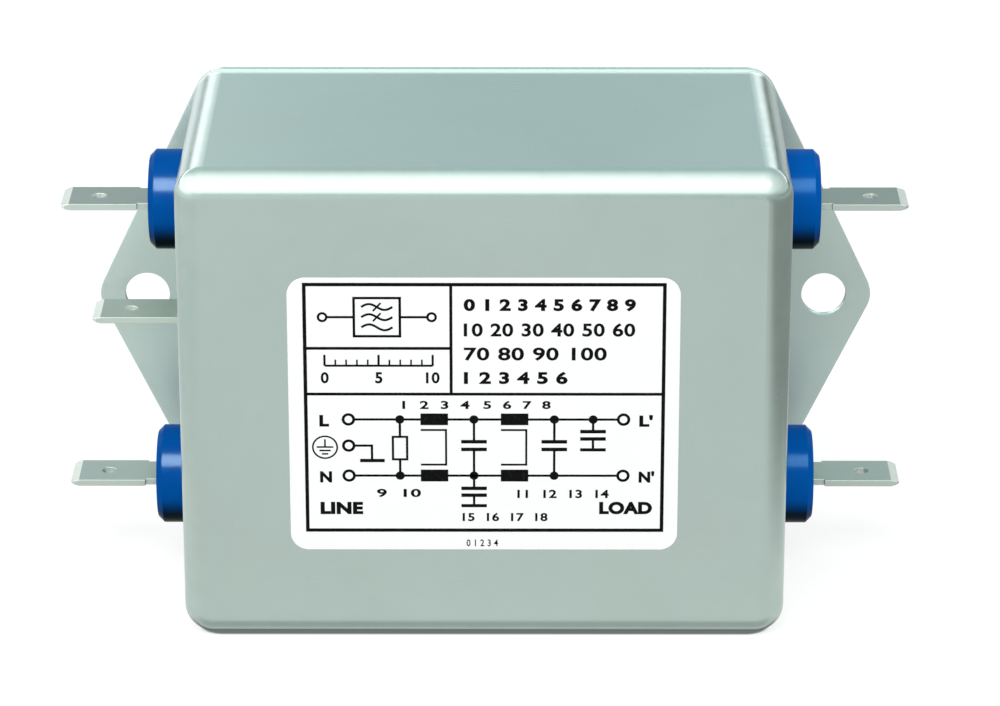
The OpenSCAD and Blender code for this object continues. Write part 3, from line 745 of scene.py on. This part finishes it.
def build_floor():
    """A plain white floor. What the camera sees of it is plain, but for a painted shadow
    in the gap under the can. What the metal mirrors of it is painted with light and shade
    like a product studio's cards: a grey one at the right, a bright one behind at the left, and dusk far away."""
    bm = bmesh.new()
    size = 6.0
    z = FLOOR_Z * MM
    bm.faces.new([bm.verts.new((x, y, z)) for x, y in ((-size, -size), (size, -size), (size, size), (-size, size))])
    material, t = new_material("studio_floor")
    at = t.place()
    x, y, _ = t.split(at)
    paths = t.add("ShaderNodeLightPath")
    seen, soft = paths.outputs["Is Camera Ray"], paths.outputs["Is Diffuse Ray"]

    # painted reflections: light and dark cards painted on what the metal mirrors of the floor
    painted_cards = t.mix(t.ramp(y, -70.0, 10.0), (0.80, 0.80, 0.80), (0.86, 0.87, 0.87))
    painted_cards = t.mix(t.ramp(x, -105.0, -60.0, 1.0, 0.0), painted_cards, (0.75, 0.77, 0.77))
    left_back = t.times(t.ramp(x, -75.0, -45.0, 1.0, 0.0), t.ramp(y, 240.0, 310.0))
    painted_cards = t.mix(left_back, painted_cards, (0.96, 1.03, 1.05))
    beside = t.times(t.times(t.ramp(y, -15.0, 8.0), t.ramp(y, 60.0, 110.0, 0.42, 0.0)), t.ramp(x, 50.0, 80.0))
    right = t.math("ADD", t.ramp(x, 50.0, 106.0, kind="LINEAR"), beside, clamp=True)
    right = t.times(right, t.ramp(y, 150.0, 420.0, 1.0, 0.3))
    painted_cards = t.mix(right, painted_cards, (0.34, 0.35, 0.34))
    far = t.math("SQRT", t.plus(t.times(x, x), t.times(y, y)))
    painted_cards = t.mix(t.ramp(far, 260.0, 700.0), painted_cards, t.mix(t.ramp(x, -100.0, 150.0), (0.92, 1.00, 1.02), (0.52, 0.60, 0.59)))
    # painted shade: close in front of the can, what the metal mirrors of the floor darkens towards the shadow under
    # its rounded edge
    line = t.times(t.ramp(y, -42.6, -40.6), t.ramp(y, -39.7, -38.9, 1.0, 0.5))
    shade = t.plus(t.times(line, 0.36), t.times(t.ramp(y, -38.9, -38.1), 0.60))
    painted_cards = t.mix(t.times(shade, t.ramp(t.math("ABSOLUTE", x), 33.0, 38.0, 1.0, 0.0)), painted_cards, (0.02, 0.02, 0.02))
    # a painted shadow in the gap below that edge, for what the camera sees: how far a point lies inside the can's
    # outline
    inner = 4.5
    qx = t.math("MAXIMUM", t.minus(t.math("ABSOLUTE", x), CAN_X - inner), 0.0)
    qy = t.math("MAXIMUM", t.minus(t.math("ABSOLUTE", t.plus(y, CAN_DEPTH / 2)), CAN_DEPTH / 2 - inner), 0.0)
    depth = t.minus(inner, t.math("SQRT", t.plus(t.times(qx, qx), t.times(qy, qy))))
    gap_shadow_mask = t.ramp(depth, 1.35, 1.95)

    grain = t.mix(t.noise(at, 60.0, 2.0), (0.300, 0.303, 0.303), (0.320, 0.322, 0.322))
    mirrored = t.mix(1.0, grain, painted_cards, "MULTIPLY")
    # what the camera sees: the plain floor, with the painted shadow in the gap
    plain = t.mix(gap_shadow_mask, grain, (0.03, 0.034, 0.033))
    colour = t.mix(seen, t.mix(soft, mirrored, (0.22, 0.22, 0.22)), plain)
    glow = t.mix(seen, t.mix(soft, t.mix(1.0, painted_cards, (0.79, 0.80, 0.795), "MULTIPLY"), (0.10, 0.10, 0.10)),
                 t.mix(gap_shadow_mask, (0.77, 0.77, 0.77), (0.14, 0.17, 0.16)))
    node = t.surface(Base_Color=colour, Roughness=0.9, Specular_IOR_Level=0.1, Emission_Color=glow)
    node.inputs["Emission Strength"].default_value = 1.0
    floor = object_from(bm, "studio_floor", material)
    return floor


build_floor()

world = bpy.data.worlds.new("studio")
world.use_nodes = True
SCENE.world = world
w = Tree(world.node_tree)
x, y, z = w.split(w.add("ShaderNodeTexCoord").outputs["Generated"])
# plain surround: what the top of the can mirrors lies low at the back
back = w.mix(w.ramp(x, -0.085, 0.0), (0.80, 0.93, 0.94), (0.65, 0.785, 0.80))
back = w.mix(w.ramp(x, 0.0, 0.07), back, (0.71, 0.86, 0.88))
front = w.mix(w.ramp(x, -0.3, 0.6), (0.95, 0.97, 0.97), (0.62, 0.64, 0.64))
ring = w.mix(w.ramp(y, -0.2, 0.5), front, back)
# wings: bright at the left, dark at the right, and both brighter higher up
wing = w.mix(w.ramp(x, -0.5, 0.5), (1.0, 1.03, 1.03), (0.34, 0.38, 0.37))
wing = w.mix(w.ramp(z, 0.0, 0.22), wing, w.mix(w.ramp(x, -0.5, 0.5), (1.9, 1.95, 1.95), (0.85, 0.90, 0.89)))
ring = w.mix(w.ramp(w.math("ABSOLUTE", x), 0.42, 0.85), ring, wing)
# low at the back, from the horizon up: pale, then dusk, then a bright strip at
# either side of the middle, which draws the crisp lines along the can's edges
behind = w.ramp(y, 0.45, 0.75)
side = w.ramp(x, -0.2, 0.2)
lifted = w.minus(z, w.times(side, 0.022))
low = w.mix(side, w.mix(w.ramp(z, 0.0, 0.09), (0.96, 1.03, 1.06), (0.27, 0.30, 0.31)),
            w.mix(w.ramp(z, 0.0, 0.09), (0.50, 0.55, 0.55), (0.07, 0.08, 0.08)))
ring = w.mix(w.times(w.ramp(lifted, 0.148, 0.190, 1.0, 0.0), behind), ring, low)
strip = w.times(w.times(w.ramp(lifted, 0.148, 0.190), w.ramp(z, 0.232, 0.290, 1.0, 0.0)),
                w.times(behind, w.ramp(w.math("ABSOLUTE", x), 0.08, 0.17)))
ring = w.mix(strip, ring, w.mix(side, (3.05, 3.12, 3.12), (3.15, 3.22, 3.26)))
# overhead softbox, fading towards the back, so that the top of the can looks under it
over = w.plus(w.times(w.ramp(y, 0.60, 0.0, kind="LINEAR"), 0.7), w.times(w.ramp(y, 0.0, -0.5), 0.3))
over = w.times(over, w.ramp(w.minus(w.minus(z, 0.36), w.times(y, 0.30)), 0.02, 0.20))
sky = w.mix(over, ring, w.mix(w.ramp(x, -0.2, 0.9), (2.1, 2.12, 2.12), (1.1, 1.15, 1.15)))
# dull surfaces are lit more from the front than from above
paths = w.add("ShaderNodeLightPath")
dome = w.mix(w.ramp(y, -0.5, 0.5), (1.5, 1.5, 1.5), (0.4, 0.4, 0.4))
dome = w.mix(w.ramp(z, 0.35, 0.9), dome, (0.5, 0.5, 0.5))
sky = w.mix(paths.outputs["Is Diffuse Ray"], sky, dome)
seen = w.mix(paths.outputs["Is Camera Ray"], sky, (1.0, 1.0, 1.0))
background = w.add("ShaderNodeBackground")
w.put(background.inputs["Color"], seen)
background.inputs["Strength"].default_value = 1.0
w.tree.links.new(background.outputs[0], w.add("ShaderNodeOutputWorld").inputs["Surface"])


def softbox(name, place, target, size, watts, colour=(1.0, 1.0, 1.0)):
    light = bpy.data.lights.new(name, "AREA")
    light.shape = "RECTANGLE"
    light.size, light.size_y = size
    light.energy = watts
    light.color = colour
    lamp = bpy.data.objects.new(name, light)
    lamp.location = place
    lamp.rotation_euler = (Vector(target) - Vector(place)).to_track_quat("-Z", "Y").to_euler()
    lamp.visible_camera = False
    SCENE.collection.objects.link(lamp)
    return lamp


softbox("front_softbox", (-0.06, -0.50, 0.60), (0.0, -0.02, 0.0), (0.60, 0.27), 2.6)
# lamps that only the glossy bushings mirror, as the soft bar across each
for side_name, watts, colour in (("line", 390.0, (0.60, 0.86, 1.0)), ("load", 150.0, (0.32, 0.72, 1.0))):
    bar = softbox(f"bushing_bar_{side_name}", (0.0, -0.50, 0.62), (0.0, -0.02, 0.0), (0.60, 0.40), watts, colour)
    bar.visible_diffuse = False
    mirrors = bpy.data.collections.new(f"bar_receivers_{side_name}")
    for name in FINISH[BLUE] + FINISH[BLUE_LOAD_PAINTED_LIGHT]:
        if side_name in name:
            mirrors.objects.link(NODES[name])
    bar.light_linking.receiver_collection = mirrors


# ---------------------------------------------------------------------------
# Camera at the photograph's angle
# ---------------------------------------------------------------------------

lens = bpy.data.cameras.new("camera")
lens.sensor_width = 36.0
lens.lens = 158.32
lens.clip_start, lens.clip_end = 0.01, 20.0
camera = bpy.data.objects.new("camera", lens)
camera.location = (0.00281, -0.51302, 0.19155)
camera.rotation_euler = (math.radians(90.0 - 21.282), 0.0, math.radians(0.1132))
SCENE.collection.objects.link(camera)
SCENE.camera = camera
SCENE.view_settings.view_transform = "Standard"
SCENE.view_settings.look = "None"

bpy.context.view_layer.update()
